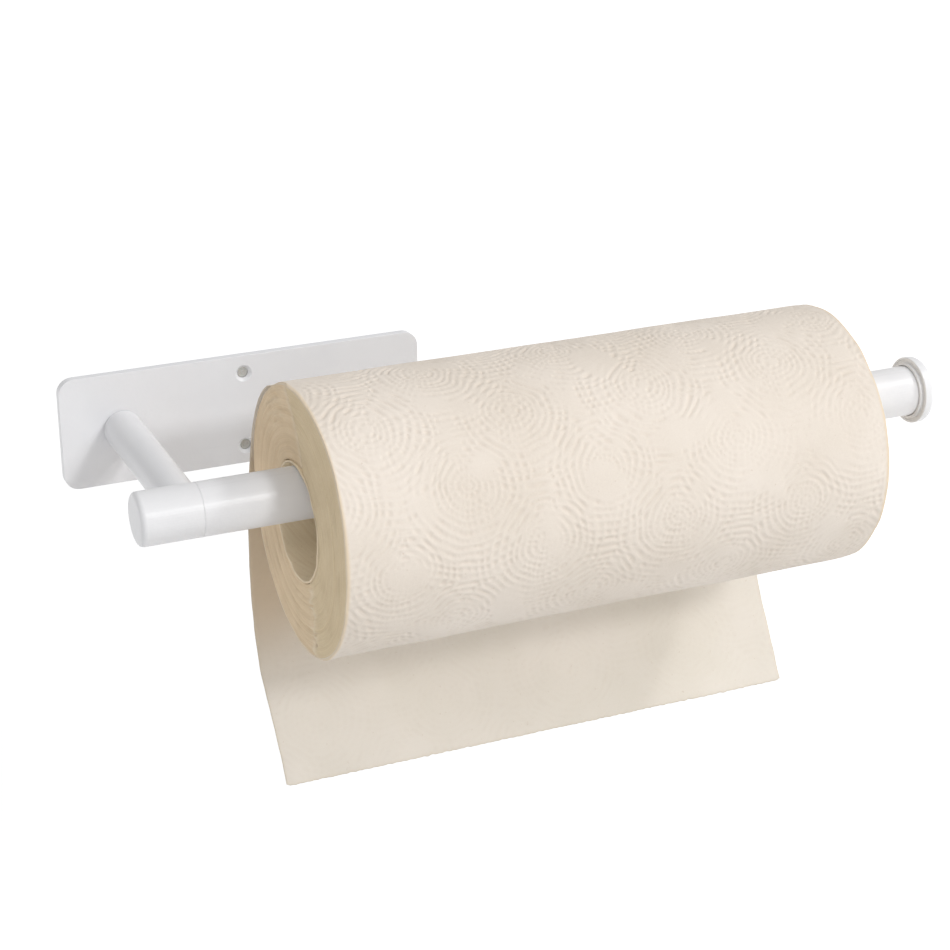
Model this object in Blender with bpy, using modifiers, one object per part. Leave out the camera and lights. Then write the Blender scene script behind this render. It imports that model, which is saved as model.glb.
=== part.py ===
"""Wall-mounted paper towel holder: a back plate, one cantilever arm, a horizontal rod
with an end stop, and a paper roll hanging on the rod.

Frame: metres. +X runs along the rod from the arm towards the end stop, +Y points into
the wall, +Z is up. The origin is the centre of the plate's rear face, on the wall.
"""
import math

import bmesh
import bpy
from mathutils import Matrix, Vector

# ---- driving dimensions (metres) -------------------------------------------------
GAP = 0.0003              # clearance kept between pieces that touch

PLATE_W = 0.147           # back plate width, along X
PLATE_H = 0.045           # back plate height, along Z
PLATE_T = 0.0035          # back plate thickness, along Y
PLATE_CORNER_R = 0.006
PLATE_EDGE_R = 0.0004
WALL_HOLE_D = 0.0044      # the two open wall screw holes
WALL_HOLE_CSK_D = 0.0068
WALL_HOLE_PITCH = 0.0304  # centre to centre, along Z

ARM_X = -0.0495           # arm axis, from the plate's centre
ARM_D = 0.0148

ROD_Y = -0.0895           # rod axis, from the wall
ROD_D = 0.020
ROD_WALL = 0.001
HUB_X = -0.0689           # free left end of the rod
HUB_END_R = 0.0020        # rounding of that end
SEAM_X = -0.0460          # joint between the hub and the tube
TUBE_END_X = 0.2511
SPIGOT_L = 0.022

STOP_D = 0.0266           # end stop flange
STOP_T = 0.00465
STOP_EDGE_R = 0.0022
STOP_COLLAR_R = 0.0112
STOP_COLLAR_L = 0.0012

ROLL_X = -0.0092          # left face of the paper roll
ROLL_L = 0.220
ROLL_D = 0.1026
CORE_ID = 0.0434
CORE_WALL = 0.0010
ROLL_EDGE_R = 0.0008

SHEET_T = 0.0006          # two embossed plies, lying loose
SHEET_START_DEG = 56.0    # where the loose sheet leaves the roll's perforation, above the wall side
SHEET_LEAVE_DEG = 20.0    # where it stops following the roll

SCREW_R = 0.0025          # M5 countersunk screw, plate to arm
SCREW_HEAD_R = 0.0046
SCREW_L = 0.0180
DOWEL_R = 0.00125
DOWEL_OFFSET = 0.0052
STUD_R = 0.0020           # M4 stud, arm to hub
SHANK_R = 0.0030          # M6 shank of the end stop

# ---- derived -----------------------------------------------------------------------
ROD_R = ROD_D / 2
ARM_R = ARM_D / 2
CORE_RI = CORE_ID / 2
CORE_RO = CORE_RI + CORE_WALL
ROLL_R = ROLL_D / 2
ROLL_Z = ROD_R + GAP - CORE_RI      # the core's top rests on the rod
ROLL_END_X = ROLL_X + ROLL_L
STOP_X = TUBE_END_X + GAP

# ---- empty the scene, make the collections -------------------------------------------
for old in list(bpy.data.objects):
    bpy.data.objects.remove(old, do_unlink=True)

scene = bpy.context.scene
parts = bpy.data.collections.new("paper_towel_holder")
cutters = bpy.data.collections.new("cutters")
scene.collection.children.link(parts)
scene.collection.children.link(cutters)


# ---- helpers ---------------------------------------------------------------------------
def material(name, colour, roughness, metallic=0.0):
    mat = bpy.data.materials.new(name)
    mat.use_nodes = True
    bsdf = mat.node_tree.nodes["Principled BSDF"]
    bsdf.inputs["Base Color"].default_value = (*colour, 1.0)
    bsdf.inputs["Roughness"].default_value = roughness
    bsdf.inputs["Metallic"].default_value = metallic
    mat.diffuse_color = (*colour, 1.0)
    return mat


def add_object(name, mesh, collection):
    obj = bpy.data.objects.new(name, mesh)
    collection.objects.link(obj)
    return obj


def as_mesh(obj, merge=0.00001):
    """Replace an object's data by its evaluated mesh, modifiers applied, seams welded."""
    bpy.context.view_layer.update()
    depsgraph = bpy.context.evaluated_depsgraph_get()
    mesh = bpy.data.meshes.new_from_object(obj.evaluated_get(depsgraph))
    bm = bmesh.new()
    bm.from_mesh(mesh)
    bmesh.ops.remove_doubles(bm, verts=bm.verts, dist=merge)
    bm.to_mesh(mesh)
    bm.free()
    name, matrix, collection = obj.name, obj.matrix_world.copy(), obj.users_collection[0]
    bpy.data.objects.remove(obj, do_unlink=True)
    new = add_object(name, mesh, collection)
    mesh.name = name
    new.matrix_world = matrix
    return new


def smooth(obj, angle=35.0):
    obj.data.shade_smooth()
    obj.data.set_sharp_from_angle(angle=math.radians(angle))


ALONG_X = Matrix.Rotation(math.radians(90), 4, "Y")    # local +Z to world +X
ALONG_Y = Matrix.Rotation(math.radians(90), 4, "X")    # local +Z to world -Y


def cylinder(name, radius, depth, segments, turn, centre, collection, radius2=None):
    bm = bmesh.new()
    bmesh.ops.create_cone(bm, cap_ends=True, cap_tris=False, segments=segments,
                          radius1=radius, radius2=radius if radius2 is None else radius2, depth=depth)
    mesh = bpy.data.meshes.new(name)
    bm.to_mesh(mesh)
    bm.free()
    obj = add_object(name, mesh, collection)
    obj.matrix_world = Matrix.Translation(centre) @ turn
    return obj


def turned(name, profile, segments, turn, centre, closed=False):
    """Turn a profile of (radius, height) points about local Z. It runs down the outer side."""
    mesh = bpy.data.meshes.new(name)
    points = [(r, 0.0, h) for r, h in profile]
    edges = [(i, i + 1) for i in range(len(points) - 1)]
    if closed:
        edges.append((len(points) - 1, 0))
    mesh.from_pydata(points, edges, [])
    obj = add_object(name, mesh, parts)
    screw = obj.modifiers.new("turn", "SCREW")
    screw.axis = "Z"
    screw.angle = 2 * math.pi
    screw.steps = segments
    screw.render_steps = segments
    screw.use_merge_vertices = True
    screw.merge_threshold = 0.00001
    obj.matrix_world = Matrix.Translation(centre) @ turn
    return obj


def quarter(r, h, radius, start_deg, steps=6):
    """Points of a 90 degree rounding, clockwise in the (radius, height) plane."""
    out = []
    for k in range(steps + 1):
        a = math.radians(start_deg - 90.0 * k / steps)
        out.append((r + radius * math.cos(a), h + radius * math.sin(a)))
    return out


def cut(obj, *tools):
    for tool in tools:
        tool.hide_render = True
        tool.display_type = "WIRE"
        mod = obj.modifiers.new("cut_" + tool.name, "BOOLEAN")
        mod.operation = "DIFFERENCE"
        mod.solver = "EXACT"
        mod.object = tool
    return obj


def hole(name, radius, y_from, y_to, x, z, segments=32):
    """A cutter along Y, from y_from to y_to."""
    return cylinder(name, radius, abs(y_from - y_to), segments, ALONG_Y,
                    (x, (y_from + y_to) / 2, z), cutters)


# ---- materials -----------------------------------------------------------------------------
white_coat = material("white_powder_coat", (0.80, 0.80, 0.81), 0.38)
zinc = material("zinc_plated_steel", (0.62, 0.63, 0.64), 0.35, 1.0)
nylon = material("natural_nylon", (0.72, 0.70, 0.64), 0.5)
board = material("grey_cardboard", (0.36, 0.29, 0.20), 0.9)
paper = material("unbleached_paper", (0.72, 0.62, 0.50), 0.95)

# ---- root empty: the wall-side frame --------------------------------------------------------
root = bpy.data.objects.new("holder_frame", None)
parts.objects.link(root)

# ---- back plate -------------------------------------------------------------------------------
outline = bpy.data.curves.new("back_plate", "CURVE")
outline.dimensions = "2D"
outline.fill_mode = "BOTH"
outline.extrude = PLATE_T / 2
corner_steps = 8
spline = outline.splines.new("POLY")
corner_points = []
for sx, sz, first in ((1, 1, 0), (-1, 1, 90), (-1, -1, 180), (1, -1, 270)):
    cx = sx * (PLATE_W / 2 - PLATE_CORNER_R)
    cz = sz * (PLATE_H / 2 - PLATE_CORNER_R)
    for k in range(corner_steps + 1):
        a = math.radians(first + 90 * k / corner_steps)
        corner_points.append((cx + PLATE_CORNER_R * math.cos(a), cz + PLATE_CORNER_R * math.sin(a)))
spline.points.add(len(corner_points) - 1)
for point, (px, pz) in zip(spline.points, corner_points):
    point.co = (px, pz, 0, 1)
spline.use_cyclic_u = True
plate = add_object("back_plate", outline, parts)
plate.matrix_world = Matrix.Translation((0, -PLATE_T / 2, 0)) @ ALONG_Y
plate = as_mesh(plate)
edge = plate.modifiers.new("edge", "BEVEL")
edge.width = PLATE_EDGE_R
edge.segments = 2
edge.limit_method = "ANGLE"
edge.angle_limit = math.radians(60)

plate_cuts = []
for tag, side in (("upper", 1), ("lower", -1)):
    z = side * WALL_HOLE_PITCH / 2
    plate_cuts.append(hole("wall_hole_" + tag, WALL_HOLE_D / 2, 0.001, -PLATE_T - 0.001, 0, z))
    # countersink, open on the room side
    depth = (WALL_HOLE_CSK_D - WALL_HOLE_D) / 2
    plate_cuts.append(cylinder("wall_csk_" + tag, WALL_HOLE_D / 2, depth + 0.0004, 32, ALONG_Y,
                               (0, -PLATE_T + depth / 2 - 0.0002, z), cutters,
                               radius2=WALL_HOLE_CSK_D / 2 + 0.0004))
# seat of the countersunk screw, open on the wall side
seat = SCREW_HEAD_R - SCREW_R
plate_cuts.append(hole("arm_screw_clearance", SCREW_R + GAP, 0.001, -PLATE_T - 0.001, ARM_X, 0))
plate_cuts.append(cylinder("arm_screw_seat", SCREW_HEAD_R + GAP + 0.0004, seat + 0.0004, 32, ALONG_Y,
                           (ARM_X, -GAP - (seat - 0.0004) / 2, 0), cutters, radius2=SCREW_R + GAP))
plate_cuts.append(hole("arm_screw_mouth", SCREW_HEAD_R + GAP, 0.001, -GAP, ARM_X, 0))
plate_cuts.append(hole("dowel_socket_plate", DOWEL_R + GAP, -0.0018, -PLATE_T - 0.001,
                       ARM_X, DOWEL_OFFSET, 24))
cut(plate, *plate_cuts)
plate.data.materials.clear()
plate.data.materials.append(white_coat)
plate.parent = root

# ---- support arm: a round bar, its free end coped to sit against the rod ------------------------
arm_start = -PLATE_T - GAP
arm_length = abs(ROD_Y - arm_start)
arm = turned("support_arm",
             [(0.0, arm_length), (ARM_R, arm_length), (ARM_R, 0.0004), (ARM_R - 0.0004, 0.0), (0.0, 0.0)],
             64, ALONG_Y, (ARM_X, arm_start, 0))
arm = as_mesh(arm)
smooth(arm)
saddle = cylinder("rod_saddle", ROD_R + GAP, 0.060, 96, ALONG_X, (ARM_X, ROD_Y, 0), cutters)
cut(arm,
    saddle,
    hole("stud_bore_arm", STUD_R + GAP, ROD_Y, ROD_Y + ROD_R + 0.0155, ARM_X, 0),
    hole("arm_screw_bore", SCREW_R + GAP, 0.0, -SCREW_L - 0.0015, ARM_X, 0),
    hole("dowel_socket_arm", DOWEL_R + GAP, 0.0, -0.0100, ARM_X, DOWEL_OFFSET, 24))
arm.data.materials.append(white_coat)
arm.parent = root

# ---- screw and dowel that hold the arm on the plate ------------------------------------------------
screw_top = -GAP
arm_screw = turned("arm_screw",
                   [(0.0, 0.0), (SCREW_R - 0.0005, 0.0), (SCREW_R, 0.0005), (SCREW_R, SCREW_L - 0.0003 - seat),
                    (SCREW_HEAD_R, SCREW_L - 0.0003), (0.0, SCREW_L - 0.0003)][::-1],
                   40, ALONG_Y @ Matrix.Rotation(math.pi, 4, "X"), (ARM_X, screw_top - SCREW_L + 0.0003, 0))
arm_screw = as_mesh(arm_screw)
smooth(arm_screw)
socket = cylinder("hex_socket", 0.00173, 0.0040, 6, ALONG_Y, (ARM_X, screw_top, 0), cutters)
cut(arm_screw, socket)
arm_screw.data.materials.append(zinc)
arm_screw.parent = root

dowel = turned("arm_dowel",
               [(0.0, 0.0075), (DOWEL_R - 0.0002, 0.0075), (DOWEL_R, 0.0073), (DOWEL_R, 0.0002),
                (DOWEL_R - 0.0002, 0.0), (0.0, 0.0)],
               24, ALONG_Y, (ARM_X, -0.0021, DOWEL_OFFSET))
dowel = as_mesh(dowel)
smooth(dowel)
dowel.data.materials.append(zinc)
dowel.parent = root

# ---- stud between the arm and the hub -----------------------------------------------------------------
stud_from = ROD_Y + ROD_R + 0.0150
stud_to = ROD_Y - 0.0030
stud_length = stud_from - stud_to
stud = turned("hub_stud",
              [(0.0, stud_length), (STUD_R - 0.0004, stud_length), (STUD_R, stud_length - 0.0004),
               (STUD_R, 0.0004), (STUD_R - 0.0004, 0.0), (0.0, 0.0)],
              32, ALONG_Y, (ARM_X, stud_from, 0))
stud = as_mesh(stud)
smooth(stud)
stud.data.materials.append(zinc)
stud.parent = root

# ---- rod hub: the solid left end of the rod, with the spigot that carries the tube --------------------------
hub_length = SEAM_X - GAP / 2 - HUB_X
spigot_r = ROD_R - ROD_WALL - GAP
hub_profile = [(0.0, hub_length + SPIGOT_L), (spigot_r - 0.0005, hub_length + SPIGOT_L),
               (spigot_r, hub_length + SPIGOT_L - 0.0005), (spigot_r, hub_length), (ROD_R, hub_length)]
hub_profile += quarter(ROD_R - HUB_END_R, HUB_END_R, HUB_END_R, 0)
hub_profile += [(0.0, 0.0)]
hub = turned("rod_hub", hub_profile, 64, ALONG_X, (HUB_X, ROD_Y, 0))
hub = as_mesh(hub)
smooth(hub)
cut(hub, hole("stud_bore_hub", STUD_R + GAP, ROD_Y + ROD_R + 0.002, ROD_Y - 0.0035, ARM_X, 0))
hub.data.materials.append(white_coat)
hub.parent = root

# ---- rod tube ---------------------------------------------------------------------------------------------
tube_x = SEAM_X + GAP / 2
tube_length = TUBE_END_X - tube_x
tube = turned("rod_tube",
              [(ROD_R - ROD_WALL, tube_length), (ROD_R - 0.0002, tube_length), (ROD_R, tube_length - 0.0002),
               (ROD_R, 0.0), (ROD_R - ROD_WALL, 0.0)],
              64, ALONG_X, (tube_x, ROD_Y, 0), closed=True)
tube = as_mesh(tube)
smooth(tube)
tube.data.materials.append(white_coat)
tube.parent = root

# ---- plug pressed into the tube's free end, and the end stop screwed into it ---------------------------------
insert_length = 0.0240
insert_end = TUBE_END_X - 0.0004
insert = turned("tube_insert",
                [(SHANK_R + GAP, insert_length), (spigot_r, insert_length), (spigot_r, 0.0006),
                 (spigot_r - 0.0006, 0.0), (SHANK_R + GAP, 0.0)],
                48, ALONG_X, (insert_end - insert_length, ROD_Y, 0), closed=True)
insert = as_mesh(insert)
smooth(insert)
insert.data.materials.append(nylon)
insert.parent = root

stop_r = STOP_D / 2
shank_length = 0.0190
stop_profile = [(0.0, shank_length + STOP_T)]
stop_profile += quarter(stop_r - STOP_EDGE_R, shank_length + STOP_T - STOP_EDGE_R, STOP_EDGE_R, 90)
stop_profile += [(stop_r, shank_length + 0.0002), (stop_r - 0.0002, shank_length),
                 (stop_r - 0.0008, shank_length), (stop_r - 0.0010, shank_length + 0.0004),
                 (STOP_COLLAR_R, shank_length + 0.0004),
                 (STOP_COLLAR_R, shank_length - STOP_COLLAR_L),
                 (ROD_R + GAP, shank_length - STOP_COLLAR_L),
                 (ROD_R + GAP, shank_length),
                 (SHANK_R, shank_length), (SHANK_R, 0.0006), (SHANK_R - 0.0006, 0.0), (0.0, 0.0)]
stop = turned("end_stop", stop_profile, 64, ALONG_X, (STOP_X - shank_length, ROD_Y, 0))
stop = as_mesh(stop)
smooth(stop)
stop.data.materials.append(white_coat)
stop.parent = root

# ---- the roll: an empty on the spin axis carries the core and the wound paper -----------------------------------
roll_axis = bpy.data.objects.new("roll_axis", None)
roll_axis.location = (ROLL_X, ROD_Y, ROLL_Z)
parts.objects.link(roll_axis)
bpy.context.view_layer.update()


def put_on_axis(obj, parent):
    obj.parent = parent
    obj.matrix_parent_inverse = Matrix.Identity(4)
    obj.matrix_local = ALONG_X


core = turned("roll_core",
              [(CORE_RI, ROLL_L - 0.0002), (CORE_RO, ROLL_L - 0.0002), (CORE_RO, 0.0002), (CORE_RI, 0.0002)],
              96, ALONG_X, (ROLL_X, ROD_Y, ROLL_Z), closed=True)
core = as_mesh(core)
smooth(core)
core.data.materials.append(board)
put_on_axis(core, roll_axis)

wound_ri = CORE_RO + GAP
wound_profile = [(wound_ri, ROLL_L)]
wound_profile += quarter(ROLL_R - ROLL_EDGE_R, ROLL_L - ROLL_EDGE_R, ROLL_EDGE_R, 90, 3)
wound_profile += quarter(ROLL_R - ROLL_EDGE_R, ROLL_EDGE_R, ROLL_EDGE_R, 0, 3)
wound_profile += [(wound_ri, 0.0)]
wound = turned("paper_roll", wound_profile, 96, ALONG_X, (ROLL_X, ROD_Y, ROLL_Z), closed=True)
wound = as_mesh(wound)
smooth(wound)
wound.data.materials.append(paper)
put_on_axis(wound, roll_axis)

# ---- hanging sheet: leaves the roll on the wall side, drops behind it and curls forward ------------------------------
sheet_r = ROLL_R + GAP + 0.0001
# free part, (Y, Z), drawn once for each cut edge: a gentle S from the tangent point to the
# curled hem. The right-hand edge swings further forward than the left.
left_edge = [(-0.0354, -0.0100), (-0.0320, -0.0280), (-0.0302, -0.0460), (-0.0303, -0.0640),
             (-0.0330, -0.0820), (-0.0395, -0.0985), (-0.0512, -0.1115), (-0.0600, -0.1220),
             (-0.0664, -0.1316)]
right_edge = [(-0.0358, -0.0100), (-0.0343, -0.0280), (-0.0352, -0.0460), (-0.0386, -0.0640),
              (-0.0440, -0.0820), (-0.0524, -0.0995), (-0.0602, -0.1118), (-0.0664, -0.1220),
              (-0.0716, -0.1316)]
SHEET_SPANS = 10          # divisions along X between the two edges


def on_roll(deg, radius):
    a = math.radians(deg)
    return (ROD_Y + radius * math.cos(a), ROLL_Z + radius * math.sin(a))


def catmull(points, per_span):
    """Smooth curve through points, ends extended by reflection."""
    ends = [tuple(2 * a - b for a, b in zip(points[0], points[1]))]
    tail = [tuple(2 * a - b for a, b in zip(points[-1], points[-2]))]
    pts = ends + list(points) + tail
    out = []
    for i in range(1, len(pts) - 2):
        p0, p1, p2, p3 = (Vector(p) for p in pts[i - 1:i + 3])
        for k in range(per_span):
            t = k / per_span
            out.append(0.5 * ((2 * p1) + (p2 - p0) * t + (2 * p0 - 5 * p1 + 4 * p2 - p3) * t * t
                              + (3 * p1 - p0 - 3 * p2 + p3) * t ** 3))
    out.append(Vector(pts[-2]))
    return out


wrap_steps = 10
wrap = [Vector(on_roll(SHEET_START_DEG + (SHEET_LEAVE_DEG - SHEET_START_DEG) * k / wrap_steps, sheet_r))
        for k in range(wrap_steps + 1)]
runs = [wrap[:-1] + catmull([tuple(wrap[-1])] + edge_points, 3) for edge_points in (left_edge, right_edge)]

bm = bmesh.new()
columns = []
for k in range(SHEET_SPANS + 1):
    t = k / SHEET_SPANS
    columns.append([bm.verts.new((ROLL_X + t * ROLL_L, *l.lerp(r, t))) for l, r in zip(*runs)])
for near, far in zip(columns, columns[1:]):
    for k in range(len(near) - 1):
        bm.faces.new((near[k], near[k + 1], far[k + 1], far[k]))
bmesh.ops.recalc_face_normals(bm, faces=bm.faces)
sheet_mesh = bpy.data.meshes.new("hanging_sheet")
bm.to_mesh(sheet_mesh)
bm.free()
sheet = add_object("hanging_sheet", sheet_mesh, parts)
middle = sheet_mesh.polygons[0]
outward = middle.normal.y * (middle.center.y - ROD_Y) + middle.normal.z * (middle.center.z - ROLL_Z) > 0
shell = sheet.modifiers.new("plies", "SOLIDIFY")
shell.thickness = SHEET_T
shell.offset = 1.0 if outward else -1.0
sheet = as_mesh(sheet)
smooth(sheet, 60)
sheet.data.materials.append(paper)
sheet.parent = root
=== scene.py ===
"""Wall-mounted paper towel holder: materials, the wound paper, the hanging sheet, light and camera.

Metres, in the CAD frame: +X along the rod, +Y into the wall, +Z up, origin on the plate's rear face.
"""

import math

import bpy
import numpy as np
from mathutils import Matrix, Vector

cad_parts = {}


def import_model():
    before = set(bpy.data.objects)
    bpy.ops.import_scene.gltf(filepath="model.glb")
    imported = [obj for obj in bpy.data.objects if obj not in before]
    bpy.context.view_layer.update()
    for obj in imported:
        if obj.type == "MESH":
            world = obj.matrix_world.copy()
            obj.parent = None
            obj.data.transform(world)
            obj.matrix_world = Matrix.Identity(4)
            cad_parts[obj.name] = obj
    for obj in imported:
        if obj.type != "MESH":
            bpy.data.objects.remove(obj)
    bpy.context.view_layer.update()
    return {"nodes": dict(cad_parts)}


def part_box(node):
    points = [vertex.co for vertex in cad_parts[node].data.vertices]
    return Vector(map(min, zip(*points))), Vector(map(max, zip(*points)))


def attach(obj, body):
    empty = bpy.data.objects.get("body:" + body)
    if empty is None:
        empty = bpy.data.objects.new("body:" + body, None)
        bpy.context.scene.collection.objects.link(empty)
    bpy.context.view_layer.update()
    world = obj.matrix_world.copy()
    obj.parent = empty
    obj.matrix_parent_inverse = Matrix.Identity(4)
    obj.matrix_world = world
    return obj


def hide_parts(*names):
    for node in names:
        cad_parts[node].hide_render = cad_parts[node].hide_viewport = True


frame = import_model()

scene = bpy.context.scene
TAU = 2 * math.pi


# ================================================================ places, from the CAD boxes
def ends(node):
    lo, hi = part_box(node)
    return np.array(lo, float), np.array(hi, float)


roll_lo, roll_hi = ends("paper_roll")
core_lo, core_hi = ends("roll_core")
tube_lo, tube_hi = ends("rod_tube")
sheet_lo, sheet_hi = ends("hanging_sheet")

X0, X1 = roll_lo[0], roll_hi[0]                    # the roll's left and right faces
ROLL_L = X1 - X0
AX_X = (X0 + X1) / 2
AX_Y = (roll_lo[1] + roll_hi[1]) / 2               # the spin axis
AX_Z = (roll_lo[2] + roll_hi[2]) / 2
ROLL_R = (roll_hi[1] - roll_lo[1]) / 2
CORE_RO = (core_hi[1] - core_lo[1]) / 2
CORE_WALL = 0.0010
CORE_RI = CORE_RO - CORE_WALL
BORE_R = CORE_RO + 0.0003                          # the innermost turn of paper
ROD_R = (tube_hi[2] - tube_lo[2]) / 2


# ================================================================ camera
def camera():
    place = Vector((-0.24591, -0.79156, 0.32132))
    yaw, up_angle, tilt = (math.radians(v) for v in (-23.632, 23.059, 0.042))
    right = Vector((math.cos(yaw), math.sin(yaw), 0))
    back = Vector((math.sin(yaw) * math.cos(up_angle), -math.cos(yaw) * math.cos(up_angle), math.sin(up_angle)))
    up = back.cross(right)
    right, up = (right * math.cos(tilt) + up * math.sin(tilt)), (up * math.cos(tilt) - right * math.sin(tilt))
    data = bpy.data.cameras.new("camera")
    data.sensor_width = 36.0
    data.lens = 84.715
    data.clip_start, data.clip_end = 0.02, 60.0
    data.dof.use_dof = False
    obj = bpy.data.objects.new("camera", data)
    turn = Matrix((right, up, back)).transposed().to_4x4()
    obj.matrix_world = Matrix.Translation(place) @ turn
    scene.collection.objects.link(obj)
    scene.camera = obj


camera()


# ================================================================ helpers: meshes
def smoothstep(a, b, x):
    t = np.clip((x - a) / (b - a), 0.0, 1.0)
    return t * t * (3 - 2 * t)


def quads(nu, nv, wrap_u=False, wrap_v=False, start=0):
    """Quad indices of a grid of nu by nv points, rows along u."""
    iu = np.arange(nu if wrap_u else nu - 1)
    iv = np.arange(nv if wrap_v else nv - 1)
    a, b = np.meshgrid(iu, iv, indexing="ij")
    a1, b1 = (a + 1) % nu, (b + 1) % nv
    q = np.stack([a * nv + b, a1 * nv + b, a1 * nv + b1, a * nv + b1], -1).reshape(-1, 4)
    return q + start


def build(name, points, faces, attributes=None, materials=(), face_material=None, outward=True):
    """A mesh object from arrays. faces is an array of quads."""
    points = np.asarray(points, float).reshape(-1, 3)
    faces = np.asarray(faces, np.int32)
    if outward:
        # signed volume about the middle, so that normals point out
        c = points.mean(0)
        p0, p1, p2, p3 = (points[faces[:, k]] - c for k in range(4))
        vol = (np.einsum("ij,ij->i", p0, np.cross(p1, p2)) + np.einsum("ij,ij->i", p0, np.cross(p2, p3))).sum()
        if vol < 0:
            faces = faces[:, ::-1]
    mesh = bpy.data.meshes.new(name)
    n, m = len(points), len(faces)
    mesh.vertices.add(n)
    mesh.vertices.foreach_set("co", points.astype(np.float32).ravel())
    mesh.loops.add(4 * m)
    mesh.loops.foreach_set("vertex_index", np.ascontiguousarray(faces).ravel())
    mesh.polygons.add(m)
    mesh.polygons.foreach_set("loop_start", np.arange(0, 4 * m, 4, dtype=np.int32))
    mesh.polygons.foreach_set("loop_total", np.full(m, 4, np.int32))
    if face_material is not None:
        mesh.polygons.foreach_set("material_index", np.asarray(face_material, np.int32))
    mesh.update(calc_edges=True)
    mesh.validate()
    mesh.polygons.foreach_set("use_smooth", np.ones(len(mesh.polygons), bool))
    for key, values in (attributes or {}).items():
        layer = mesh.attributes.new(key, "FLOAT", "POINT")
        layer.data.foreach_set("value", np.asarray(values, np.float32).ravel())
    for mat in materials:
        mesh.materials.append(mat)
    obj = bpy.data.objects.new(name, mesh)
    scene.collection.objects.link(obj)
    return obj


class Waves:
    """Smooth seeded noise of one or two arguments, as a sum of cosines. Periods may be tied to a circle."""

    def __init__(self, seed, count, low, high, around=None):
        rng = np.random.default_rng(seed)
        k = rng.uniform(low, high, count)
        a = rng.uniform(0, TAU, count)
        self.kx, self.ky = k * np.cos(a), k * np.sin(a)
        if around is not None:      # whole numbers of waves along y, over the length around
            step = TAU / around
            self.ky = np.round(self.ky / step) * step
        self.phase = rng.uniform(0, TAU, count)
        self.scale = math.sqrt(2.0 / count)

    def __call__(self, x, y=0.0):
        total = 0.0
        for kx, ky, p in zip(self.kx, self.ky, self.phase):
            total = total + np.cos(kx * x + ky * y + p)
        return total * self.scale


# ================================================================ the embossed pattern
# Round motifs on a staggered grid. Each is a set of rings pressed into the paper, dotted near its
# middle and drawn as long arcs further out, and it runs further down than up, like fish scales.
CIRCUM = TAU * ROLL_R
ROW = CIRCUM / 12                 # rows of motifs around the roll
PITCH = 0.0540                    # motifs along the roll
RING = 0.00236                    # ring spacing near a motif's middle
RING_FAR = 0.00285                # and of the long arcs
FAR = 0.0125                      # radius where the one gives way to the other
FIRST_ROW = math.radians(181.9) * ROLL_R
FIRST_X = X0 + 0.0192

soft_mask = Waves(11, 22, TAU / 0.060, TAU / 0.022, around=CIRCUM)
jitter = Waves(12, 16, TAU / 0.030, TAU / 0.012, around=CIRCUM)
grain_mask = Waves(13, 30, TAU / 0.016, TAU / 0.005, around=CIRCUM)
warp_x = Waves(14, 18, TAU / 0.030, TAU / 0.009, around=CIRCUM)
warp_y = Waves(15, 18, TAU / 0.030, TAU / 0.009, around=CIRCUM)


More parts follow.
